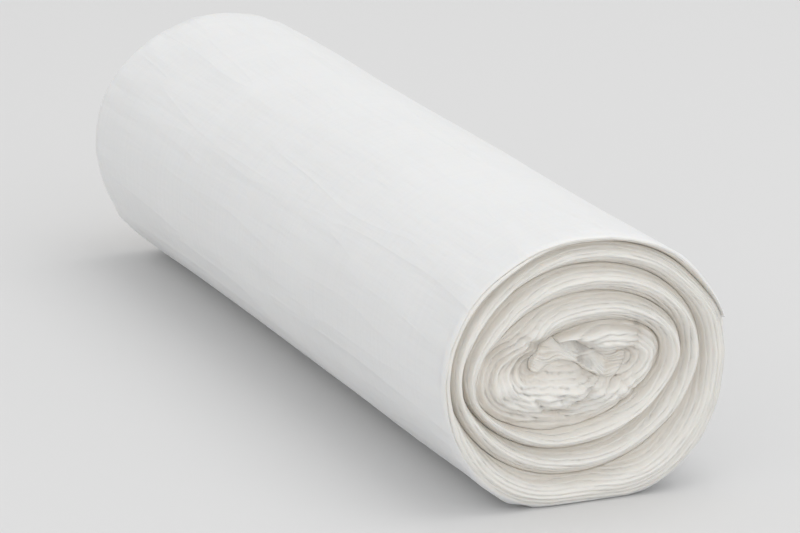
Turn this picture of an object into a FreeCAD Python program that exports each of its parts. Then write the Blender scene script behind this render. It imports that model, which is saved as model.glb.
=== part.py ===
"""A coreless roll of bin bags, lying on its side. The folded web of bags is one solid, wound in a spiral.

Millimetres. +Y runs along the roll's axis and +Z is up. The origin is the middle of the small flat spot
that the roll rests on. Angles in the section are seen from the front, which is the -Y end: 0 is +X, 90 is +Z.
A place on the web is given by how many degrees back from the free tail it lies. Going back along the web is
going anticlockwise and inwards, down to the web's start inside the collapsed core.
"""

import FreeCAD
import Part

import math
import os

# Overall size of the wound roll
ROLL_LENGTH = 190.0  # the web's width: a bag of 760 mm, folded to a quarter
ROLL_WIDTH = 56.0
ROLL_HEIGHT = 50.0
FLAT_WIDTH = 13.0  # the spot that the soft roll has sunk flat on

# The winding
TURN_PITCH = 4.4
TURN_GAP = 0.6
TAIL_THICKNESS = 0.6
TAIL_ANGLE = 12.0
TAIL_TAPER = 0.08  # turns over which the web gains most of its thickness from the tail
TAIL_SETTLE = 30.0  # degrees past the tail over which the turn below comes up to the surface
MIDDLE_RISE = 1.4  # how far the turns halfway in lie above their place between the outside and the core

# The collapsed core
CORE_WIDTH = 33.6
CORE_HEIGHT = 15.8
CORE_TILT = 11.0  # degrees that the core is turned against the outside
CORE_SIDE = 2.1  # how far the core lies left of the middle of the outside
CORE_DROP = 1.2  # how far the core lies below the middle of the outside
HOLLOW_WIDTH = 18.4
HOLLOW_SIDE = 0.8  # how far the hollow lies left of the middle of the outside
HOLLOW_RISE = 1.0  # how far the hollow lies above the middle of the outside
HOLLOW_TILT = 0.0
LOBE_HEIGHT = 4.6  # height of the hollow in each of its two lobes
PINCH_HEIGHT = 1.6  # height of the hollow between the lobes, where its walls nearly meet
LOBE_SHIFT = 2.0  # how far the left lobe lies above the pinch and the right lobe below it
START_ANGLE = 106.0
START_THICKNESS = 0.8
START_TAPER = 70.0  # degrees over which the web thins to its start
START_OPENING = 75.0  # degrees over which the hollow widens to let the web's start in

# The ends, where the folds of the web stand
FOLD_ROUND = 1.4

# How finely the curves are drawn
ARCS_PER_TURN = 22
STRAIGHT = 0.001  # an arc that bows less than this is a straight line

HALF_LENGTH = ROLL_LENGTH / 2
HALF_WIDTH = ROLL_WIDTH / 2
HALF_HEIGHT = ROLL_HEIGHT / 2
HALF_FLAT = FLAT_WIDTH / 2
FLAT_EDGE = math.degrees(math.atan2(HALF_FLAT, HALF_HEIGHT))

MEAN_BUILD = (ROLL_WIDTH + ROLL_HEIGHT - CORE_WIDTH - CORE_HEIGHT) / 4
PART_TURN = (START_ANGLE - TAIL_ANGLE) % 360 / 360
GROOVE_TURNS = PART_TURN + max(1, round(MEAN_BUILD / TURN_PITCH - PART_TURN))
LAST_TURN = 360 * GROOVE_TURNS
START = LAST_TURN + 360


def oval(back, width, height):
    """Radius of an ellipse in the direction of a place on the web."""
    turn = math.radians(TAIL_ANGLE + back)
    return width * height / 2 / math.hypot(height * math.cos(turn), width * math.sin(turn))


def outline(back):
    """Radius of the roll's outside in the direction of a place on the web.

    The upper half is half an ellipse. The lower half is two quarters of one, with the flat spot between them.
    """
    turn = math.radians(TAIL_ANGLE + back)
    across, up = abs(math.cos(turn)), math.sin(turn)
    if up >= 0:
        return oval(back, ROLL_WIDTH, ROLL_HEIGHT)
    if across * HALF_HEIGHT <= -up * HALF_FLAT:
        return HALF_HEIGHT / -up
    side = HALF_WIDTH - HALF_FLAT
    a = (across / side) ** 2 + (up / HALF_HEIGHT) ** 2
    b = across * HALF_FLAT / side ** 2
    c = (HALF_FLAT / side) ** 2 - 1
    return (b + math.sqrt(b * b - a * c)) / a


def ease(share):
    """0 up to 1, level at both ends, as share goes from 0 to 1."""
    held = min(1.0, max(0.0, share))
    return held * held * (3 - 2 * held)


def built_up(back):
    """Share of the way from the surface to the core that the groove below a place on the web has gone."""
    turns, most = back / 360, GROOVE_TURNS
    gained = turns - TAIL_TAPER * (1 - math.exp(-turns / TAIL_TAPER))
    return gained / (most - TAIL_TAPER * (1 - math.exp(-most / TAIL_TAPER)))


def groove(back):
    """Radius of the middle of the gap below a place on the web."""
    surface = oval(back, ROLL_WIDTH, ROLL_HEIGHT) - TAIL_THICKNESS - TURN_GAP / 2
    core = oval(back, CORE_WIDTH, CORE_HEIGHT)
    return surface + (core - surface) * built_up(back)


def on_section(radius, back, share):
    """The point of the section over a place on the web, a share of the way from the surface to the core."""
    turn = math.radians(TAIL_ANGLE + back + CORE_TILT * share)
    rise = HALF_HEIGHT - CORE_DROP * share + MIDDLE_RISE * 4 * share * (1 - share)
    return FreeCAD.Vector(radius * math.cos(turn) - CORE_SIDE * share, 0, rise + radius * math.sin(turn))


def hollow_wall(back):
    """The point on the wall of the hollow, which is an S: two lobes with a pinch between them."""
    turn = math.radians(TAIL_ANGLE + back)
    lean = math.radians(HOLLOW_TILT)
    bulge = 1.5 * math.sqrt(3) * math.cos(turn) ** 2  # its product with the sine below peaks at 1
    x = HOLLOW_WIDTH / 2 * math.cos(turn)
    z = (PINCH_HEIGHT + (LOBE_HEIGHT - PINCH_HEIGHT) * bulge) / 2 * math.sin(turn)
    z -= LOBE_SHIFT * math.sin(math.pi * math.cos(turn))
    across = x * math.cos(lean) - z * math.sin(lean)
    up = x * math.sin(lean) + z * math.cos(lean)
    return FreeCAD.Vector(across - HOLLOW_SIDE, 0, HALF_HEIGHT + HOLLOW_RISE + up)


def outer_face(back):
    """The point on the web's outer face."""
    if back >= 360:
        return on_section(groove(back - 360) - TURN_GAP / 2, back, built_up(back - 360))
    under_tail = oval(back, ROLL_WIDTH, ROLL_HEIGHT) - TAIL_THICKNESS - TURN_GAP
    settled = ease((360 - back) / TAIL_SETTLE)
    return on_section(under_tail + (outline(back) - under_tail) * settled, back, 0)


def inner_face(back):
    """The point on the web's inner face, which in the innermost turn is the wall of the hollow."""
    lying = on_section(groove(min(back, LAST_TURN)) + TURN_GAP / 2, back, built_up(min(back, LAST_TURN)))
    if back <= LAST_TURN:
        return lying
    wall = hollow_wall(back)
    wall += (lying - wall) * ease(1 - (back - LAST_TURN) / START_OPENING)
    across = wall - outer_face(back)
    thinned = across * (START_THICKNESS / across.Length)
    return wall + (outer_face(back) + thinned - wall) * ease(1 - (START - back) / START_TAPER)


def web_layers(back):
    """Four points through the web at a place on it: its inner face, the two sides of its fold, its outer face."""
    inside = inner_face(back)
    through = outer_face(back) - inside
    rounding = FOLD_ROUND / (through.Length + 2 * FOLD_ROUND)
    return [inside, inside + through * rounding, inside + through * (1 - rounding), inside + through]


def section_edge(points):
    """The section's line from the first of three points to the last: an arc, or a line where they are in line."""
    first, middle, last = points
    if middle.distanceToLine(first, last - first) < STRAIGHT:
        return Part.LineSegment(first, last).toShape()
    return Part.Arc(first, middle, last).toShape()


def moved(edge, y):
    """A line of the section, moved along the roll's axis."""
    return edge.translated(FreeCAD.Vector(0, y, 0))


def step_faces(first, last):
    """The faces of a short step of the web, between two places on it."""
    places = [first, (first + last) / 2, last]
    inside, fold_in, fold_out, outside = [section_edge(points) for points in zip(*map(web_layers, places))]
    shoulder = HALF_LENGTH - FOLD_ROUND
    along = FreeCAD.Vector(0, 2 * shoulder, 0)
    faces = [moved(edge, -shoulder).extrude(along) for edge in (inside, outside)]
    for side in (-1, 1):
        faces.append(Part.makeRuledSurface(moved(inside, side * shoulder), moved(fold_in, side * HALF_LENGTH)))
        faces.append(Part.makeRuledSurface(moved(fold_in, side * HALF_LENGTH), moved(fold_out, side * HALF_LENGTH)))
        faces.append(Part.makeRuledSurface(moved(fold_out, side * HALF_LENGTH), moved(outside, side * shoulder)))
    return faces


def cross_cut(back):
    """The flat face that closes the web at a place on it."""
    inside, fold_in, fold_out, outside = web_layers(back)
    end = FreeCAD.Vector(0, HALF_LENGTH, 0)
    shoulder = FreeCAD.Vector(0, HALF_LENGTH - FOLD_ROUND, 0)
    ring = [inside - shoulder, fold_in - end, fold_out - end, outside - shoulder,
            outside + shoulder, fold_out + end, fold_in + end, inside + shoulder]
    return Part.Face(Part.makePolygon(ring + ring[:1]))


def wound_web():
    """The whole web, in stretches that meet at the flat spot's edges and where the groove opens into the hollow."""
    edges = [(270 + side * FLAT_EDGE - TAIL_ANGLE) % 360 for side in (-1, 1)]
    ends = sorted([0.0, LAST_TURN, START] + edges)
    faces = [cross_cut(0.0), cross_cut(START)]
    for first, last in zip(ends, ends[1:]):
        steps = math.ceil((last - first) / 360 * ARCS_PER_TURN)
        places = [first + (last - first) * i / steps for i in range(steps + 1)]
        for here, there in zip(places, places[1:]):
            faces += step_faces(here, there)
    shell = Part.Shell(faces)
    shell.sewShape()
    solid = Part.Solid(shell)
    if solid.Volume < 0:
        solid.reverse()
    return solid


def main():
    os.makedirs("parts", exist_ok=True)
    web = wound_web()
    web.exportStep("parts/wound_web.step")
    box = web.optimalBoundingBox()
    print("valid", web.isValid(), "closed", web.isClosed(), "solids", len(web.Solids), "volume", round(web.Volume))
    print("x", round(box.XMin, 2), round(box.XMax, 2), "y", round(box.YMin, 2), round(box.YMax, 2),
          "z", round(box.ZMin, 3), round(box.ZMax, 2))
    print("turns", round(START / 360, 2))


main()
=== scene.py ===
"""Looks of a coreless roll of white bin bags: the wound film, its bunched folds at both ends and its torn edge."""

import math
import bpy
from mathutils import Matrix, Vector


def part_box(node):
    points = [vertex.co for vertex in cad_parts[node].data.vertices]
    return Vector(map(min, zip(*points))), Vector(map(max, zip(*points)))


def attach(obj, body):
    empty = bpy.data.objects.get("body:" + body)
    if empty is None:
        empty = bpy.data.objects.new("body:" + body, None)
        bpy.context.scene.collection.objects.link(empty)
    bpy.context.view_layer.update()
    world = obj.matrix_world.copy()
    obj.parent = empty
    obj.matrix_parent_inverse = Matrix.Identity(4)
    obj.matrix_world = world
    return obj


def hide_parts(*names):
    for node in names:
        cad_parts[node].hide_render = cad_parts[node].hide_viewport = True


bl_info = {
    "name": "Bin Bag Roll",
    "version": (1, 0, 0),
    "blender": (4, 5, 0),
    "location": "3D View > Sidebar > Bin Bag Roll",
    "description": "Winds a roll of white bin bags over its packed solid",
    "category": "Object",
}

import bmesh
import bpy
from mathutils import Vector, noise

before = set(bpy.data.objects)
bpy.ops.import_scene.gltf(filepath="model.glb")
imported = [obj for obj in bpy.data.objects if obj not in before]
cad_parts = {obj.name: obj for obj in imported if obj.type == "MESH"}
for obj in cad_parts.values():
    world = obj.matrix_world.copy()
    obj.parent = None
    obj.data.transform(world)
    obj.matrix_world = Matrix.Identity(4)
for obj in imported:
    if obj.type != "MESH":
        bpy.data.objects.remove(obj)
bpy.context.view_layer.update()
WEB_LOW, WEB_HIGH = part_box("wound_web")

COLUMNS = 700  # steps of the mesh along the web
SIDE_ROWS = 40  # steps of the mesh along the roll, over the outer face of the web
FOLD_ROWS = 38  # steps of the mesh over the folds at one end of the roll
HIDDEN_ROWS = 2  # steps of the mesh along the roll, under the web
SAME_POINT = 1e-7  # vertices closer than this are merged

# Soft hills and hollows on the crumpled middle of each end: place across and up from the roll's middle, half width
# and height, and how far it is sunk
CORE_HILLS = (
    (-0.0142, 0.0026, 0.0048, 0.0032, 0.0022),
    (0.0030, 0.0052, 0.0065, 0.0020, -0.0007),
    (-0.0062, -0.0038, 0.0062, 0.0024, -0.0009),
    (0.0070, -0.0058, 0.0040, 0.0022, -0.0004),
    (0.0105, 0.0030, 0.0022, 0.0030, 0.0006),
    (-0.0090, 0.0052, 0.0017, 0.0013, 0.0016),
    (0.0024, 0.0008, 0.0010, 0.0010, -0.0007),
)
# Creases there: depth, half width, and the points that each runs through
CORE_CREASES = (
    (0.0018, 0.0007,
     (-0.0098, -0.0048), (-0.0078, -0.0068), (-0.0045, -0.0077), (-0.0015, -0.0063), (0.0010, -0.0043)),
    (0.0008, 0.0005, (0.0070, -0.0028), (0.0084, -0.0046), (0.0112, -0.0056)),
    (0.0007, 0.0005, (-0.0125, 0.0068), (-0.0096, 0.0052)),
    (0.0009, 0.0006, (0.0092, 0.0024), (0.0112, 0.0052), (0.0108, 0.0070)),
    (0.0006, 0.0005, (-0.0165, -0.0042), (-0.0128, -0.0034), (-0.0105, -0.0040)),
)

# The film under light
FILM_IOR = 1.5
SOAK = 0.3  # share of the light that goes into the film and comes out beside it
SOAK_DEPTH = 0.0009
SOAK_RADIUS = (1.0, 0.85, 0.7)  # red goes deepest, which makes the folds cream
RELIEF_HEIGHT = 0.0003
FILM_RELIEF, LEAF_RELIEF = 0.7, 0.35  # strength of the relief on the wound film and in the hollow
DULLED = 0.96  # how bright the side's film still is where it is worn
WELD_START, WELD_END = 9.6, 10.8  # millimetres back from the free edge: the weld that closes the last bag
WELD_RIM = 0.25  # millimetres over which the weld comes in and goes


class WoundFilmSettings(bpy.types.PropertyGroup):
    """Sizes of the wound web of folded film."""

    length: bpy.props.FloatProperty(
        name="Length", description="Length of the roll, which is the web's width",
        default=WEB_HIGH.y - WEB_LOW.y, min=0.05, unit="LENGTH")
    width: bpy.props.FloatProperty(
        name="Width", description="Width of the roll's oval section", default=0.056, min=0.03, unit="LENGTH")
    height: bpy.props.FloatProperty(
        name="Height", description="Height of the roll's oval section",
        default=WEB_HIGH.z - WEB_LOW.z, min=0.03, unit="LENGTH")
    flat: bpy.props.FloatProperty(
        name="Flat spot", description="Width of the spot that the roll rests on", default=0.013, unit="LENGTH")
    pitch: bpy.props.FloatProperty(
        name="Turn pitch", description="Thickness of one turn of the folded web", default=0.0044, unit="LENGTH")
    gap: bpy.props.FloatProperty(
        name="Turn gap", description="Air between two turns", default=0.00012, precision=5, unit="LENGTH")
    tail: bpy.props.FloatProperty(
        name="Tail thickness", description="Thickness of the web a little way back from its free end",
        default=0.0011, precision=5, unit="LENGTH")
    middle_rise: bpy.props.FloatProperty(
        name="Middle rise", description="How far the turns halfway in lie above their place",
        default=0.0014, precision=4, unit="LENGTH")
    core_width: bpy.props.FloatProperty(
        name="Core width", description="Width of the innermost turn", default=0.0336, unit="LENGTH")
    core_height: bpy.props.FloatProperty(
        name="Core height", description="Height of the innermost turn", default=0.0158, unit="LENGTH")
    core_side: bpy.props.FloatProperty(
        name="Core side", description="How far the core lies left of the middle",
        default=0.0021, precision=4, unit="LENGTH")
    core_drop: bpy.props.FloatProperty(
        name="Core drop", description="How far the core lies below the middle",
        default=0.0012, precision=4, unit="LENGTH")
    core_tilt: bpy.props.FloatProperty(
        name="Core tilt", description="How far the core is turned against the outside",
        default=math.radians(11), subtype="ANGLE")
    fold_depth: bpy.props.FloatProperty(
        name="Fold depth", description="How far the rounded folds stand out of the groove between two turns",
        default=0.0034, precision=4, unit="LENGTH")
    ply: bpy.props.FloatProperty(
        name="Ply", description="Thickness of one bunched fold of film", default=0.00075, precision=5, unit="LENGTH")
    ply_height: bpy.props.FloatProperty(
        name="Ply height", description="How far single folds of film stand out on the end of a turn",
        default=0.0003, precision=5, unit="LENGTH")
    slack: bpy.props.FloatProperty(
        name="Slack", description="Depth of the soft dents in the roll", default=0.0006, precision=5, unit="LENGTH")
    gather: bpy.props.FloatProperty(
        name="Gather", description="Depth of the small wrinkles that run in from the folds at both ends",
        default=0.0006, precision=5, unit="LENGTH")


class FilmFinishSettings(bpy.types.PropertyGroup):
    """Colours and gloss of the film, and the colour of the painted shade in its grooves."""

    film: bpy.props.FloatVectorProperty(
        name="Film", description="Colour of the film on the side of the roll",
        default=(0.805, 0.81, 0.81), subtype="COLOR", size=3, min=0, max=1)
    folds: bpy.props.FloatVectorProperty(
        name="Folds", description="Colour of the bunched folds at the ends",
        default=(0.86, 0.845, 0.805), subtype="COLOR", size=3, min=0, max=1)
    # Painted shade: the darker, warmer colour that the ends are given deep between two turns and between plies
    groove_shade: bpy.props.FloatVectorProperty(
        name="Grooves", description="Colour deep between two turns",
        default=(0.83, 0.79, 0.73), subtype="COLOR", size=3, min=0, max=1)
    roughness: bpy.props.FloatProperty(
        name="Roughness", description="Roughness of the satin film", default=0.42, min=0, max=1, subtype="FACTOR")


class StageSettings(bpy.types.PropertyGroup):
    """The floor, the lights and the camera."""

    floor: bpy.props.FloatVectorProperty(
        name="Floor", description="Colour of the floor and the backdrop",
        default=(0.70, 0.70, 0.70), subtype="COLOR", size=3, min=0, max=1)
    azimuth: bpy.props.FloatProperty(
        name="Azimuth", description="Direction of the camera round the roll",
        default=math.radians(-22.5), subtype="ANGLE")
    elevation: bpy.props.FloatProperty(
        name="Elevation", description="Height of the camera above the horizon",
        default=math.radians(16), subtype="ANGLE")
    distance: bpy.props.FloatProperty(
        name="Distance", description="Distance from the camera to the roll", default=0.97, unit="LENGTH")
    lens: bpy.props.FloatProperty(name="Lens", description="Focal length", default=225, unit="CAMERA")


def ease(share):
    """0 up to 1, level at both ends, as share goes from 0 to 1."""
    held = min(1.0, max(0.0, share))
    return held * held * (3 - 2 * held)


def ripple(scale, *place, seed=0.0):
    """Smooth noise between about -1 and 1, with waves of the given length. The seed picks a part of it."""
    return noise.noise(Vector([p / scale for p in place] + [0.0] * (3 - len(place))) + Vector((seed, 7.3, -seed)))


class WebSection:
    """The section of the wound web. A place on it is given by the angle back from the free tail."""

    TURN = 2 * math.pi
    TAIL_ANGLE = math.radians(12)  # where the free tail lies, seen from the front, with 0 at the right
    TAIL_EDGE = 0.00018  # thickness of the film at the very edge of the tail
    TAIL_EASE = math.radians(25)  # over which the tail gets its full thickness
    TAIL_TAPER = 0.05  # turns over which the web gains most of its thickness from the tail
    TAIL_SETTLE = math.radians(30)  # past the tail, over which the turn below comes up to the surface
    START_ANGLE = math.radians(106)  # where the web starts in the core
    START_THICKNESS = 0.0008
    START_TAPER = math.radians(70)  # over which the web thins to its start
    START_OPENING = math.radians(75)  # over which the hollow widens to let the web's start in
    HOLLOW_HALF = 0.0092  # half the width of the hollow
    HOLLOW_SIDE = 0.0008  # how far the hollow lies left of the middle
    HOLLOW_RISE = 0.001  # how far the hollow lies above the middle
    LOBE_HEIGHT = 0.0042  # height of the hollow in each of its two lobes
    PINCH_HEIGHT = 0.0013  # height of the hollow between the lobes
    LOBE_SHIFT = 0.002  # how far the left lobe lies above the pinch and the right lobe below it
    LOBE_PEAK = 1.5 * math.sqrt(3)  # makes the lobes as high as they say

    def __init__(self, sizes):
        self.sizes = sizes
        build = (sizes.width + sizes.height - sizes.core_width - sizes.core_height) / 4
        part_turn = (self.START_ANGLE - self.TAIL_ANGLE) % self.TURN / self.TURN
        self.turns = part_turn + max(1, round(build / sizes.pitch - part_turn))
        self.last_turn = self.TURN * self.turns
        self.start = self.last_turn + self.TURN

    def oval(self, back, width, height):
        """Radius of an ellipse in the direction of a place on the web."""
        turn = self.TAIL_ANGLE + back
        return width * height / 2 / math.hypot(height * math.cos(turn), width * math.sin(turn))

    def outline(self, back):
        """Radius of the outside: half an ellipse above, and two quarters with the flat spot between them below."""
        sizes, turn = self.sizes, self.TAIL_ANGLE + back
        across, up = abs(math.cos(turn)), math.sin(turn)
        if up >= 0:
            return self.oval(back, sizes.width, sizes.height)
        half_flat, half_height = sizes.flat / 2, sizes.height / 2
        if across * half_height <= -up * half_flat:
            return half_height / -up
        side = sizes.width / 2 - half_flat
        a = (across / side) ** 2 + (up / half_height) ** 2
        b = across * half_flat / side ** 2
        c = (half_flat / side) ** 2 - 1
        return (b + math.sqrt(b * b - a * c)) / a

    def gained(self, turns):
        """Turns of full thickness that a number of turns back from the thin tail come to."""
        return turns - self.TAIL_TAPER * (1 - math.exp(-turns / self.TAIL_TAPER))

    def built_up(self, back):
        """Share of the way from the surface to the core that the groove below a place on the web has gone."""
        return self.gained(min(back, self.last_turn) / self.TURN) / self.gained(self.turns)

    def tail_thickness(self, back):
        """Thickness of the tail near its free edge, where the film lies down on the turn below."""
        return self.TAIL_EDGE + (self.sizes.tail - self.TAIL_EDGE) * ease(back / self.TAIL_EASE)

    def groove(self, back):
        """Radius of the middle of the gap below a place on the web."""
        sizes = self.sizes
        surface = self.oval(back, sizes.width, sizes.height) - self.tail_thickness(back) - sizes.gap / 2
        core = self.oval(back, sizes.core_width, sizes.core_height)
        return surface + (core - surface) * self.built_up(back)

    def placed(self, radius, back, share):
        """The point of the section over a place on the web, a share of the way from the surface to the core."""
        sizes = self.sizes
        turn = self.TAIL_ANGLE + back + sizes.core_tilt * share
        rise = sizes.height / 2 - sizes.core_drop * share + sizes.middle_rise * 4 * share * (1 - share)
        return Vector((radius * math.cos(turn) - sizes.core_side * share, 0, rise + radius * math.sin(turn)))

    def hollow_height(self, across):
        """Half the height of the hollow at a share of the way from its middle to its tip."""
        bulge = self.LOBE_PEAK * across ** 2
        lobes = self.PINCH_HEIGHT + (self.LOBE_HEIGHT - self.PINCH_HEIGHT) * bulge
        return lobes / 2 * math.sqrt(max(0.0, 1 - across ** 2))

    def in_hollow(self, across, up):
        """A point in the S of the hollow: from -1 to 1 across it, and from -1 to 1 between its walls."""
        z = up * self.hollow_height(across) - self.LOBE_SHIFT * math.sin(math.pi * across)
        x = self.HOLLOW_HALF * across - self.HOLLOW_SIDE
        return Vector((x, 0, self.sizes.height / 2 + self.HOLLOW_RISE + z))

    def outer(self, back):
        """The point on the web's outer face."""
        sizes = self.sizes
        if back >= self.TURN:
            under = back - self.TURN
            return self.placed(self.groove(under) - sizes.gap / 2, back, self.built_up(under))
        under_tail = self.oval(back, sizes.width, sizes.height) - self.TAIL_EDGE - sizes.gap
        settled = ease((self.TURN - back) / self.TAIL_SETTLE)
        return self.placed(under_tail + (self.outline(back) - under_tail) * settled, back, 0)

    def inner(self, back):
        """The point on the web's inner face, which in the innermost turn is the wall of the hollow."""
        held = min(back, self.last_turn)
        lying = self.placed(self.groove(held) + self.sizes.gap / 2, back, self.built_up(held))
        if back <= self.last_turn:
            return lying
        turn = self.TAIL_ANGLE + back
        wall = self.in_hollow(math.cos(turn), math.copysign(1.0, math.sin(turn)))
        wall += (lying - wall) * ease(1 - (back - self.last_turn) / self.START_OPENING)
        across = wall - self.outer(back)
        thinned = across * (self.START_THICKNESS / across.length)
        return wall + (self.outer(back) + thinned - wall) * ease(1 - (self.start - back) / self.START_TAPER)


def core_relief(place, middle):
    """How far the crumpled middle is sunk at a point of the section, by its hills, hollows and creases."""
    x, z = place.x, place.z - middle
    sunk = 0.0
    for across, up, half_width, half_height, depth in CORE_HILLS:
        sunk += depth * math.exp(-((x - across) / half_width) ** 4 - ((z - up) / half_height) ** 4)
    for depth, half_width, *line in CORE_CREASES:
        nearest = min(off_line(x, z, *one, *other) for one, other in zip(line, line[1:]))
        sunk += depth * math.exp(-(nearest / half_width) ** 2)
    return sunk


def off_line(x, z, x0, z0, x1, z1):
    """Distance of a point from a short line."""
    share = ((x - x0) * (x1 - x0) + (z - z0) * (z1 - z0)) / ((x1 - x0) ** 2 + (z1 - z0) ** 2)
    share = min(1.0, max(0.0, share))
    return math.hypot(x - x0 - share * (x1 - x0), z - z0 - share * (z1 - z0))


def face_order(face):
    """A number that puts faces in the order of the vertices they stand on, of which there are under 100,000."""
    first, second, third = sorted(vert.index for vert in face.verts)[:3]
    return (first * 1e5 + second) * 1e5 + third


def finished(mesh):
    """A closed bmesh with its faces smooth and pointing outwards."""
    bmesh.ops.recalc_face_normals(mesh, faces=mesh.faces)
    for face in mesh.faces:
        face.smooth = True
    return mesh


class FilmMesh:
    """The wound web as a mesh: a grid whose columns go back along the web and whose rows go round its section."""

    TAIL_CROWDING = 0.25  # how much closer together the columns lie near the tail
    END_CROWDING = 0.3  # how much closer together the rows of the side lie near both ends
    SHALLOWEST = 0.0008  # depth of the groove below film of no thickness
    DEEPENING = 1.2  # times the film's thickness, which adds to that depth
    STEP = 0.6  # how sharply one ply is set off from the next, up to 1
    STEP_FADE = 0.0009  # depth from both faces of the web over which its plies come to stand out
    FULL_WEB = 0.002  # thickness from which a web's plies stand out in full
    RIM = 0.0020  # rounding of the outermost turn's rim
    RIM_SHARE = 0.9  # most that the rim's rounding is of the web's thickness
    RIM_END = math.radians(20)  # under the tail, over which the rim becomes a groove
    CORE_START = 0.8  # radians past the last groove over which the film gets crumpled
    CORE_PLY = 0.5  # how much thicker a ply is there
    UNEVEN = 0.0005  # how unevenly the turns were wound on to each other at the ends
    PATCHY = 0.0003  # depth of small patches on the ends
    CRUMPLES = 0.0007  # depth of the crumples in the core
    FULL_DENTS = 0.025  # radius from which the dents are as deep as they get
    LONG_DENT = 0.030  # length of the wide dents
    SHORT_DENT = 0.014  # length of the small dents
    FLAT_TOP = 0.002  # height up to which the resting roll has no dents
    DENTS_RISE = 0.022  # height over which they come in above it
    EDGE_WAVE = math.radians(2.2)  # how far the free edge waves
    EDGE_JITTER = math.radians(0.8)
    EDGE_REACH = math.radians(30)  # back from the tail, over which the film follows the free edge
    SIDE_RADIUS = 0.026  # makes an angle on the outermost turn a length
    TAIL_RADIUS = 0.0275  # the same close to the tail, for the seal line
    SHOWN_TURN = 0.15  # radians of the second turn that show beside the free edge
    STREAK = 0.00016  # depth of the streaks along the roll
    STREAK_WIDTH = 0.007
    BEND = 0.0003  # height of the slanting bends
    BEND_WIDTH = 0.016
    GATHER_WIDTH = 0.0036
    GATHER_REACH = 0.012  # how far the gathers run in from both ends
    WRINKLES_END = 0.3  # radians before the second turn over which the wrinkles end
    WRINKLES_START = 0.9  # radians from the tail over which they come in

    def __init__(self, sizes):
        self.sizes = sizes
        self.section = WebSection(sizes)
        self.half = sizes.length / 2
        self.shoulder = self.half - sizes.fold_depth
        self.rows = SIDE_ROWS + HIDDEN_ROWS + 2 * FOLD_ROWS

    def back(self, share):
        """The place on the web of a share of the columns, which lie closer together near the tail."""
        return self.section.start * (1 - self.TAIL_CROWDING + self.TAIL_CROWDING * share) * share

    def row_place(self, row):
        """Share through the web, share along the roll from -1 to 1, and which end's folds the row lies on."""
        if row <= SIDE_ROWS:
            along = row / SIDE_ROWS * 2 - 1
            return 0.0, along * (1 + self.END_CROWDING - self.END_CROWDING * along * along), 0
        row -= SIDE_ROWS
        if row < FOLD_ROWS:
            return row / FOLD_ROWS, 1.0, 1
        row -= FOLD_ROWS
        if row <= HIDDEN_ROWS:
            return 1.0, 1 - 2 * row / HIDDEN_ROWS, 0
        row -= HIDDEN_ROWS
        return 1 - row / FOLD_ROWS, -1.0, -1

    def thickness(self, back):
        """Thickness of the web at a place on it."""
        return (self.section.inner(back) - self.section.outer(back)).length

    def core(self, back):
        """0 in the wound turns up to 1 in the crumpled core."""
        return ease((back - self.section.last_turn) / self.CORE_START)

    def groove_depth(self, back):
        """How deep the groove below a place on the web is: shallow under the thin tail."""
        return min(self.sizes.fold_depth, self.SHALLOWEST + self.DEEPENING * self.thickness(back))

    def ply_place(self, through, thick, back, end):
        """Which of the bunched folds of film a point on the end of the web lies in, and how far through it."""
        core = self.core(back)
        ply = self.sizes.ply * (1 + self.CORE_PLY * core)
        sway = (0.7 + 0.5 * core) * ripple(0.9, back, end * 3.0, seed=4.1)
        sway += 0.22 * ripple(0.16, back, through * 2.0, end * 3.0, seed=7.7)
        return through * thick / ply + sway

    def profile(self, through, thick, back):
        """How far the rounded fold of the web has fallen off from its crest towards the groove beside it."""
        section = self.section
        off = min(1.0, abs(2 * through - 1))
        wave = 0.44 * (1 - math.cos(math.pi * off)) + 0.12 * off ** 8  # steepest just before the groove
        if through > 0.5:
            return self.groove_depth(back) * wave
        if back >= section.TURN:
            return self.groove_depth(back - section.TURN) * wave
        outermost = ease((section.TURN - back) / self.RIM_END)
        rim = min(self.RIM, self.RIM_SHARE * thick) * (1 - math.sqrt(1 - off ** 2))
        return self.groove_depth(0) * wave * (1 - outermost) + rim * outermost

    def sunk(self, through, thick, back, end, place):
        """How far a point on the folds at one end lies in from the end."""
        sizes, core = self.sizes, self.core(back)
        ply = self.ply_place(through, thick, back, end)
        inside = ease(through * thick / self.STEP_FADE) * ease((1 - through) * thick / self.STEP_FADE)
        stepped = through + self.STEP * (0.5 - ply % 1) * inside * sizes.ply / thick
        sunk = self.profile(min(1.0, max(0.0, stepped)), thick, back)
        # Single plies: each is rounded, and some stand further out than others
        height = sizes.ply_height * (1 - (2 * through - 1) ** 6) * min(1.0, thick / self.FULL_WEB)
        sunk += height * (1 - abs(math.sin(math.pi * ply))) * (1 + core)
        sunk += height * (1.5 + 2.2 * core) * ripple(1.0, math.floor(ply) * 3.7, back * 2.2, seed=end * 2.6)
        # Turns that weren't wound quite in line, small patches, and the sharp crumples of the core
        sunk += self.UNEVEN * (1 + ripple(1.6, back, end * 5.0, seed=2.2))
        sunk += self.PATCHY * (1 + ripple(0.006, place.x, place.z, end * 0.1, seed=8.8))
        crumple = 1 - abs(ripple(0.0050, place.x, place.z, end * 0.1, seed=12.5))
        sunk += self.CRUMPLES * core * (crumple ** 4 - 0.3)
        return sunk + core_relief(place, sizes.height / 2)

    def dented(self, place):
        """A point moved by the soft dents, which reach through all the turns under them."""
        out = Vector((place.x, 0, place.z - self.sizes.height / 2))
        radius = out.length
        if radius < SAME_POINT:
            return place
        share = min(1.0, radius / self.FULL_DENTS)
        push = ripple(self.LONG_DENT, place.x, place.y * 0.45, place.z, seed=1.7)
        push += 0.5 * ripple(self.SHORT_DENT, place.x, place.y * 0.3, place.z, seed=5.9)
        low = ease((place.z - self.FLAT_TOP) / self.DENTS_RISE)
        return place + out.normalized() * (self.sizes.slack * push * share * low)

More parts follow.
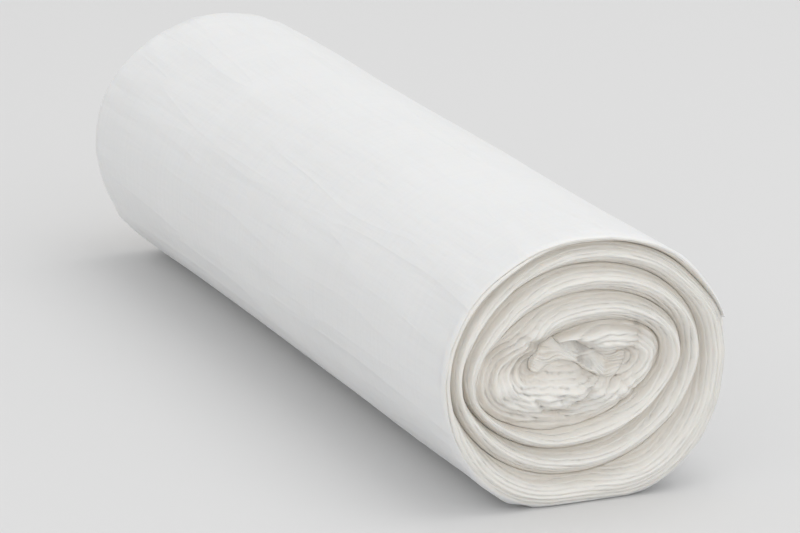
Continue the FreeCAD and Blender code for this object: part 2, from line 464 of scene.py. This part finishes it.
    def free_edge(self, y):
        """The place on the web of its free edge, which waves a little along the roll."""
        return self.EDGE_WAVE * (1 + ripple(0.035, y, seed=3.3)) + self.EDGE_JITTER * ripple(0.008, y, seed=9.1)

    def wrinkled(self, back, y):
        """How far small wrinkles sink the outermost film: streaks, slanting bends, and gathers from the ends."""
        arc = back * self.SIDE_RADIUS
        streak = self.STREAK * ripple(self.STREAK_WIDTH, arc, y * 0.10, seed=6.4)
        slanting = abs(ripple(self.BEND_WIDTH, arc + 0.12 * y, y * 0.14, seed=4.4))
        bend = self.BEND * (0.25 - (1 - slanting) ** 5)
        near = math.exp(-(self.half - abs(y)) / self.GATHER_REACH)
        folded = ripple(self.GATHER_WIDTH, arc, abs(y) * 0.14, math.copysign(0.01, y), seed=2.8)
        gather = self.sizes.gather * near * folded
        fade = ease((self.section.TURN - back) / self.WRINKLES_END)
        return (streak + bend + gather) * fade * ease(back / self.WRINKLES_START)

    def point(self, column, row):
        """The point of the mesh at a share of the columns and a number of rows."""
        through, along, end = self.row_place(row)
        back = self.back(column)
        y = along * self.shoulder
        back += self.free_edge(y) * max(0.0, 1 - back / self.EDGE_REACH)
        outer, inner = self.section.outer(back), self.section.inner(back)
        across = inner - outer
        place = outer + across * through
        if end or abs(along) == 1:
            end = end or along
            place.y = end * (self.half - self.sunk(through, across.length, back, end, place))
        else:
            place.y = y
        place = self.dented(place)
        if back < self.section.TURN and through == 0:
            place += across.normalized() * self.wrinkled(back, place.y)
        place.z = max(0.0, place.z)  # nothing reaches below what the roll rests on
        return place

    def build(self):
        """The bmesh of the wound web, with what its finish needs to know of each point."""
        web = bmesh.new()
        plies = web.verts.layers.float.new("ply")
        groove_shade = web.verts.layers.float.new("groove")
        folds = web.verts.layers.float.new("folds")
        tails = web.verts.layers.float.new("tail")
        bmesh.ops.create_grid(web, x_segments=COLUMNS, y_segments=self.rows, size=0.5)
        for vert in web.verts:
            column, row = vert.co.x + 0.5, round((vert.co.y + 0.5) * self.rows)
            through, along, end = self.row_place(row)
            back = self.back(column)
            thick = self.thickness(back)
            vert[plies] = self.ply_place(through, thick, back, end or math.copysign(1, along))
            past = back - self.section.TURN
            outermost = past < 0 or past < self.SHOWN_TURN and through + abs(along) < 1
            vert[folds] = ease(through * thick / self.STEP_FADE) if outermost else 1.0
            vert[tails] = back * self.TAIL_RADIUS
            vert.co = self.point(column, row)
            sunk = self.half - abs(vert.co.y)
            # How deep in a groove the point lies, which the finish paints as shade
            vert[groove_shade] = ease((sunk - self.SHALLOWEST) / (self.sizes.fold_depth + self.SHALLOWEST))
        bmesh.ops.remove_doubles(web, verts=web.verts, dist=SAME_POINT)
        open_edges = [edge for edge in web.edges if edge.is_boundary]
        bmesh.ops.holes_fill(web, edges=open_edges, sides=0)
        return finished(web)


class BunchedFilm:
    """The innermost film, bunched in the hollow all along the roll and sunk between its walls at both ends."""

    COLUMNS = 170  # steps of the mesh across the hollow
    ROWS = 30  # steps of the mesh up one end
    PLY = 0.0007  # thickness of one of its folds
    TUCK = 1.03  # how far the film reaches into the hollow's walls
    DEPTH = 0.0040  # how far it lies in from the end of the roll beside the walls
    CROWN = 0.0016  # how far it stands out again in the middle
    LEAF = 0.0006  # how far its folds stand out
    LEAF_WIDTH = 0.0028  # width of its larger ups and downs
    SHADOW_DEPTH = 0.0022  # depth from which the film is shaded as in a groove
    SHADOW_REACH = 0.003  # depth over which the shade gets full
    # Pits between the leaves: place across and up from the roll's middle, reach and depth
    PITS = ((-0.0005, 0.0012, 0.0012, 0.0016), (0.0055, -0.0004, 0.0014, 0.0016), (-0.0070, 0.0030, 0.0020, 0.0008))

    def __init__(self, sizes):
        self.section = WebSection(sizes)
        self.half = sizes.length / 2
        self.middle = sizes.height / 2

    def sunk(self, place, crown, end):
        """How far a point on the bunched film lies in from the end of the roll."""
        x, z = place.x, place.z - self.middle
        ply = (z + 0.22 * x) / self.PLY + 2.2 * ripple(0.0035, x, z, end * 0.01, seed=3.9)
        sunk = self.DEPTH - self.CROWN * crown
        shown = ease(0.5 + ripple(0.003, x, z, end * 0.01, seed=1.6))
        sunk += self.LEAF * (1 - abs(math.sin(math.pi * ply))) * shown
        sunk += self.LEAF * ripple(self.LEAF_WIDTH, x, z, end * 0.01, seed=8.2)
        for across, up, reach, depth in self.PITS:
            sunk += depth * math.exp(-((x - across) ** 2 + (z - up) ** 2) / reach ** 2)
        return sunk

    def wall(self, across, up):
        """The web's inner face over or under a share of the way from the middle of the hollow to its tip."""
        section = self.section
        turn = math.copysign(math.acos(across), up) - section.START_ANGLE
        return section.inner(section.last_turn + turn % section.TURN)

    def point(self, across, row):
        """The point at -1 to 1 across the hollow, and at a number of rows up the front end and down the back end."""
        end = -1 if row <= self.ROWS or row > 2 * self.ROWS + 1 else 1
        up = 2 * row / self.ROWS - 1 if row <= self.ROWS else 1 - 2 * (row - self.ROWS - 1) / self.ROWS
        up = max(-1.0, up)
        middle = self.section.in_hollow(across, 0)
        out = abs(up) if abs(across) < 1 else 1  # at both tips the rows meet in one point
        place = middle + (self.wall(across, up) - middle) * (out * self.TUCK)
        place.y = end * (self.half - self.sunk(place, (1 - up ** 2) * (1 - across ** 2), end))
        return place

    def build(self):
        """The bmesh of the bunched film."""
        film = bmesh.new()
        groove_shade = film.verts.layers.float.new("groove")
        rows = 2 * self.ROWS + 2
        bmesh.ops.create_grid(film, x_segments=self.COLUMNS, y_segments=rows, size=0.5)
        for vert in film.verts:
            vert.co = self.point(max(-1.0, min(1.0, 2 * vert.co.x)), round((vert.co.y + 0.5) * rows))
            # How far past SHADOW_DEPTH the point lies in the hollow, which the finish paints as shade
            vert[groove_shade] = ease((self.half - self.SHADOW_DEPTH - abs(vert.co.y)) / self.SHADOW_REACH)
        bmesh.ops.remove_doubles(film, verts=film.verts, dist=SAME_POINT)
        return finished(film)


class TornEdge:
    """The web's free edge: thin film with the small teeth of a torn perforation, lying on the turn below."""

    STEPS = 1400  # steps of the mesh along the roll
    ROWS = 4  # steps of the mesh out to the edge
    TOOTH = 0.0036  # from one cut of the perforation to the next
    TOOTH_HEIGHT = 0.0005
    TOOTH_SHARE = 0.42  # share of that length that was torn, and so stands out as a tooth
    TOOTH_SLOPE = 0.12  # share of it over which a tooth rises and falls
    FRAY = 0.0001  # how far the torn edge wavers
    MARGIN = 0.001  # from the edge's end to where the folds begin
    REACH = 0.0009  # how far the film stands out from the web's blunt end
    TUCKED = 0.0009  # how far it reaches in between the web's two faces
    LIFT = 0.00021  # how far the film lies above the turn below, at the web's end
    SETTLED = 0.00015  # how much of that it loses on the way to its edge
    THICKNESS = 0.00007

    def __init__(self, sizes):
        self.web = FilmMesh(sizes)
        self.radius = sizes.width / 2

    def tooth(self, y):
        """How far a tooth of film stands out at a place along the roll."""
        share = y / self.TOOTH % 1
        bridge = ease(share / self.TOOTH_SLOPE) * ease((self.TOOTH_SHARE - share) / self.TOOTH_SLOPE)
        height = self.TOOTH_HEIGHT * bridge * (0.8 + 0.5 * ripple(0.004, y, seed=1.1))
        return height + self.FRAY * ripple(0.0009, y, seed=5.5)

    def point(self, along, out):
        """The point at -1 to 1 along the roll and a share of the way out from inside the web to the edge."""
        y = along * (self.web.shoulder - self.MARGIN)
        section = self.web.section
        arc = self.TUCKED - (self.TUCKED + self.REACH + self.tooth(y)) * out
        below = section.outer(section.TURN + self.web.free_edge(y) + arc / self.radius)
        lift = self.LIFT - self.SETTLED * ease(1.4 * out - 0.4)  # starts to come down after the web's end
        outwards = Vector((below.x, 0, below.z - self.web.sizes.height / 2)).normalized()
        place = below + outwards * lift
        place.y = y
        return self.web.dented(place)

    def build(self):
        """The bmesh of the strip, with its thickness."""
        strip = bmesh.new()
        bmesh.ops.create_grid(strip, x_segments=self.STEPS, y_segments=self.ROWS, size=0.5)
        for vert in strip.verts:
            vert.co = self.point(2 * vert.co.x, vert.co.y + 0.5)
        bmesh.ops.recalc_face_normals(strip, faces=strip.faces)
        bmesh.ops.solidify(strip, geom=strip.faces[:], thickness=self.THICKNESS)
        # Solidify leaves the faces of the rim in another order each time
        strip.verts.index_update()
        strip.faces.sort(key=face_order)
        return finished(strip)


class Value:
    """A number in a shader. Plain arithmetic on it adds the Math nodes."""

    def __init__(self, finish, socket):
        self.finish = finish
        self.socket = socket

    def maths(self, operation, *numbers):
        """The result of one Math node on the given numbers and values."""
        inputs = {f"i{place}": number for place, number in enumerate(numbers)}
        return Value(self.finish, self.finish.node("ShaderNodeMath", {"operation": operation}, **inputs).outputs[0])

    def __add__(self, other):
        return self.maths("ADD", self, other)

    def __radd__(self, other):
        return self.maths("ADD", other, self)

    def __sub__(self, other):
        return self.maths("SUBTRACT", self, other)

    def __rsub__(self, other):
        return self.maths("SUBTRACT", other, self)

    def __mul__(self, other):
        return self.maths("MULTIPLY", self, other)

    def __rmul__(self, other):
        return self.maths("MULTIPLY", other, self)

    def __pow__(self, other):
        return self.maths("POWER", self, other)

    def __abs__(self):
        return self.maths("ABSOLUTE", self)

    def between(self, low, high):
        """0 at low up to 1 at high, level at both."""
        node = self.finish.node(
            "ShaderNodeMapRange", {"interpolation_type": "SMOOTHSTEP"}, Value=self, From_Min=low, From_Max=high)
        return Value(self.finish, node.outputs["Result"])


class Finish:
    """A material whose nodes are all added in one way."""

    def __init__(self, name):
        self.material = bpy.data.materials.new(name)
        self.material.use_nodes = True
        self.tree = self.material.node_tree
        self.tree.nodes.clear()

    def node(self, kind, settings=None, **inputs):
        """A new node of a kind, with its settings made first and then the values or links of its sockets."""
        made = self.tree.nodes.new(kind)
        for name, setting in (settings or {}).items():
            setattr(made, name, setting)
        for name, value in inputs.items():  # i6 is the seventh socket, and Base_Color the one named Base Color
            socket = made.inputs[int(name[1:]) if name[1:].isdigit() else name.replace("_", " ")]
            if isinstance(value, Value):
                self.tree.links.new(value.socket, socket)
            elif isinstance(value, bpy.types.NodeSocket):
                self.tree.links.new(value, socket)
            else:
                socket.default_value = value
        return made

    def painted(self, attribute):
        """What a float attribute of the mesh says, as a number for arithmetic."""
        return Value(self, self.node("ShaderNodeAttribute", {"attribute_name": attribute}).outputs["Fac"])

    def noise(self, vector, **inputs):
        """Noise around 0.5, as a number for arithmetic."""
        return Value(self, self.node("ShaderNodeTexNoise", Vector=vector, **inputs).outputs["Fac"])

    def mixed(self, factor, one, other):
        """The colour between two colours."""
        node = self.node("ShaderNodeMix", {"data_type": "RGBA"}, i0=factor, i6=one, i7=other)
        return node.outputs[2]

    def close(self, shader):
        """Links the shader to the surface and gives the material."""
        self.node("ShaderNodeOutputMaterial", Surface=shader.outputs[0])
        return self.material


def rgba(colour):
    """A property's colour with its alpha."""
    return (*colour, 1.0)


def film_shader(finish, colour, roughness, relief, strength, soak):
    """The film's own shader: satin, with light soaking a little way into the layers where they are thick."""
    bump = finish.node("ShaderNodeBump", Strength=strength, Distance=RELIEF_HEIGHT, Height=relief)
    return finish.node(
        "ShaderNodeBsdfPrincipled", Base_Color=colour, Roughness=roughness, IOR=FILM_IOR, Subsurface_Weight=soak,
        Subsurface_Radius=SOAK_RADIUS, Subsurface_Scale=SOAK_DEPTH, Normal=bump.outputs["Normal"])


def film_finish(name, settings, soak):
    """Satin white film: neutral on the side, cream where it is bunched, with painted shade between the turns and the
    plies.
    """
    finish = Finish(name)
    place = finish.node("ShaderNodeTexCoord").outputs["Object"]

    # Where a point lies on the web: on its bunched folds or its side, deep in a groove, in which ply, how far back
    bunched = finish.painted("folds")
    groove = finish.painted("groove")
    ply = finish.painted("ply")
    tail = finish.painted("tail")

    # Patterns: streaks and bends along the roll, lines round it, and the layers of film on its ends
    lengthwise = finish.node("ShaderNodeMapping", Vector=place, Scale=(1.0, 0.08, 1.0))
    around = finish.node("ShaderNodeMapping", Vector=place, Scale=(0.05, 1.0, 0.05))
    slanting = finish.node("ShaderNodeMapping", Vector=place, Rotation=(0, 0, 0.12), Scale=(1.0, 0.09, 1.0))
    layered = finish.node("ShaderNodeCombineXYZ", X=ply * 2.3, Y=tail * 60)
    streaks = finish.noise(lengthwise.outputs[0], Scale=260.0, Detail=3.0)
    lines = finish.noise(around.outputs[0], Scale=800.0, Detail=2.0)
    layers = finish.noise(layered.outputs[0], Scale=1.0, Detail=3.0, Roughness=0.6)
    clouds = finish.noise(place, Scale=45.0, Detail=2.0)
    crinkle = finish.noise(place, Scale=900.0, Detail=4.0)
    bends = finish.noise(slanting.outputs[0], Scale=120.0, Detail=1.0)

    # Marks: sharp creases, the seams between plies, which also get painted shade, and the weld across the last bag
    crease = (1 - abs(bends * 2 - 1)) ** 10.0
    seam = (1 - abs((ply * math.pi).maths("SINE"))) ** 5.0
    past_start = (tail * 1000 - WELD_START).between(-WELD_RIM, 0.0)
    before_end = (WELD_END - tail * 1000).between(-WELD_RIM, 0.0)
    weld = past_start * before_end * (1 - bunched)

    worn = clouds.between(0.3, 0.7) * 0.4 + weld * 1.2 + lines.between(0.4, 0.7) * 0.25
    side = finish.mixed(worn, rgba(settings.film), rgba([channel * DULLED for channel in settings.film]))
    # Painted shade on the ends: darker towards the groove colour deep in the grooves, along the seams between plies
    # and between the layers
    between = (0.62 - layers).between(0.0, 0.22)
    shade = (groove * 0.75 + seam * (0.2 + 0.4 * clouds) + between * 0.3).between(0.0, 1.1)
    folds = finish.mixed(shade, rgba(settings.folds), rgba(settings.groove_shade))
    colour = finish.mixed(bunched, side, folds)
    loose = streaks * 1.6 + lines * 0.25 + crinkle * 0.15 + crease * 0.5 - weld * 0.8
    relief = loose * (1 - bunched) + (layers * 1.2 - seam * 0.5 + crinkle * 0.15) * bunched
    roughness = settings.roughness + (streaks - 0.5) * 0.2 + bunched * 0.06
    return finish.close(film_shader(finish, colour, roughness, relief, FILM_RELIEF, soak))


def leaf_finish(settings):
    """The same film where it is thin and crumpled, with painted shade that darkens it the deeper it lies in the
    hollow, and greyer at random with its crinkles.
    """
    finish = Finish("white_leaf_film")
    place = finish.node("ShaderNodeTexCoord").outputs["Object"]
    groove = finish.painted("groove")
    crinkle = finish.noise(place, Scale=700.0, Detail=4.0)
    # Painted shade the deeper the film lies in the hollow, plus random grey from the crinkles
    shade = (groove * 0.8 + (crinkle - 0.4) * 0.8).between(0.0, 1.0)
    colour = finish.mixed(shade, rgba(settings.folds), rgba(settings.groove_shade))
    roughness = settings.roughness + (crinkle - 0.5) * 0.2
    return finish.close(film_shader(finish, colour, roughness, crinkle, LEAF_RELIEF, SOAK))


def plain_finish(name, colour):
    """A plain matt material for the stage."""
    finish = Finish(name)
    return finish.close(finish.node("ShaderNodeBsdfPrincipled", Base_Color=rgba(colour), Roughness=0.9))


def placed_object(name, mesh_data):
    """A new object in the scene from a bmesh or a light."""
    if isinstance(mesh_data, bmesh.types.BMesh):
        data = bpy.data.meshes.new(name)
        mesh_data.to_mesh(data)
        mesh_data.free()
    else:
        data = mesh_data
    made = bpy.data.objects.new(name, data)
    bpy.context.scene.collection.objects.link(made)
    return made


class BINBAG_OT_wound_film(bpy.types.Operator):
    """Wind the film into its roll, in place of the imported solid"""

    bl_idname = "binbag.wound_film"
    bl_label = "Wound film"

    def execute(self, context):
        film = placed_object("wound_film", FilmMesh(context.scene.bin_bag_film).build())
        film.data.materials.append(film_finish("white_bag_film", context.scene.bin_bag_finish, soak=SOAK))
        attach(film, "root")
        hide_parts("wound_web")
        return {"FINISHED"}


class BINBAG_OT_bunched_film(bpy.types.Operator):
    """Bunch the innermost film in the hollow of the roll"""

    bl_idname = "binbag.bunched_film"
    bl_label = "Bunched film"

    def execute(self, context):
        film = placed_object("bunched_film", BunchedFilm(context.scene.bin_bag_film).build())
        film.data.materials.append(leaf_finish(context.scene.bin_bag_finish))
        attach(film, "root")
        return {"FINISHED"}


class BINBAG_OT_torn_edge(bpy.types.Operator):
    """Lay the torn edge of the last bag on the turn below"""

    bl_idname = "binbag.torn_edge"
    bl_label = "Torn edge"

    def execute(self, context):
        edge = placed_object("torn_edge", TornEdge(context.scene.bin_bag_film).build())
        edge.data.materials.append(film_finish("white_edge_film", context.scene.bin_bag_finish, soak=0.0))
        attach(edge, "root")
        return {"FINISHED"}


class BINBAG_OT_stage(bpy.types.Operator):
    """Set up the floor, the soft lights and the camera"""

    bl_idname = "binbag.stage"
    bl_label = "Stage"

    AIM = Vector((0, 0, 0.02))  # what the lights point at
    LOOK_AT = Vector((0, -0.006, 0.021))  # what the camera points at
    FLOOR_HALF = 6  # half the width of the floor
    ROOM_LIGHT = 0.78  # strength of the even light from all round

    def light(self, name, size, place, power):
        """A soft square light."""
        data = bpy.data.lights.new(name, "AREA")
        data.size = size
        data.energy = power
        lamp = placed_object(name, data)
        lamp.location = place
        lamp.rotation_euler = (self.AIM - Vector(place)).to_track_quat("-Z", "Y").to_euler()

    def execute(self, context):
        stage = context.scene.bin_bag_stage
        floor = bmesh.new()
        bmesh.ops.create_grid(floor, x_segments=1, y_segments=1, size=self.FLOOR_HALF)
        ground = placed_object("floor", floor)
        ground.data.materials.append(plain_finish("pale_floor", stage.floor))

        self.light("key_light", size=1.0, place=(0.35, -0.12, 1.15), power=4.0)
        self.light("fill_light", size=1.4, place=(0.4, -1.3, 0.6), power=2.0)
        self.light("side_light", size=1.2, place=(-1.0, -0.5, 0.35), power=1.6)
        world = bpy.data.worlds.new("soft_room")
        world.use_nodes = True
        background = world.node_tree.nodes["Background"]
        background.inputs["Color"].default_value = (1, 1, 1, 1)
        background.inputs["Strength"].default_value = self.ROOM_LIGHT
        context.scene.world = world
        context.scene.view_settings.view_transform = "Standard"

        low = math.cos(stage.elevation)
        back = Vector((math.sin(stage.azimuth) * low, -math.cos(stage.azimuth) * low, math.sin(stage.elevation)))
        camera = placed_object("camera", bpy.data.cameras.new("camera"))
        camera.data.lens = stage.lens
        camera.location = self.LOOK_AT + back * stage.distance
        camera.rotation_euler = (-back).to_track_quat("-Z", "Y").to_euler()
        context.scene.camera = camera
        return {"FINISHED"}


class BINBAG_PT_roll(bpy.types.Panel):
    """Lists the roll's settings and the steps that make it"""

    bl_idname = "BINBAG_PT_roll"
    bl_label = "Bin Bag Roll"
    bl_space_type = "VIEW_3D"
    bl_region_type = "UI"
    bl_category = "Bin Bag Roll"

    def draw(self, context):
        layout = self.layout
        pieces = ("binbag.wound_film", "binbag.bunched_film", "binbag.torn_edge")
        for settings, operators in ((context.scene.bin_bag_film, ()), (context.scene.bin_bag_finish, pieces),
                                    (context.scene.bin_bag_stage, ("binbag.stage",))):
            box = layout.box()
            for name in settings.bl_rna.properties.keys():
                if name not in ("rna_type", "name"):
                    box.prop(settings, name)
            for operator in operators:
                box.operator(operator)


CLASSES = (WoundFilmSettings, FilmFinishSettings, StageSettings, BINBAG_OT_wound_film, BINBAG_OT_bunched_film,
           BINBAG_OT_torn_edge, BINBAG_OT_stage, BINBAG_PT_roll)


def register():
    """Registers the classes and puts the settings in the scene."""
    for cls in CLASSES:
        bpy.utils.register_class(cls)
    bpy.types.Scene.bin_bag_film = bpy.props.PointerProperty(type=WoundFilmSettings)
    bpy.types.Scene.bin_bag_finish = bpy.props.PointerProperty(type=FilmFinishSettings)
    bpy.types.Scene.bin_bag_stage = bpy.props.PointerProperty(type=StageSettings)


def unregister():
    """Takes all of it out again."""
    del bpy.types.Scene.bin_bag_stage
    del bpy.types.Scene.bin_bag_finish
    del bpy.types.Scene.bin_bag_film
    for cls in reversed(CLASSES):
        bpy.utils.unregister_class(cls)


def main():
    """Makes the roll and its stage."""
    register()
    bpy.ops.binbag.wound_film()
    bpy.ops.binbag.bunched_film()
    bpy.ops.binbag.torn_edge()
    bpy.ops.binbag.stage()


if __name__ == "__main__":
    main()
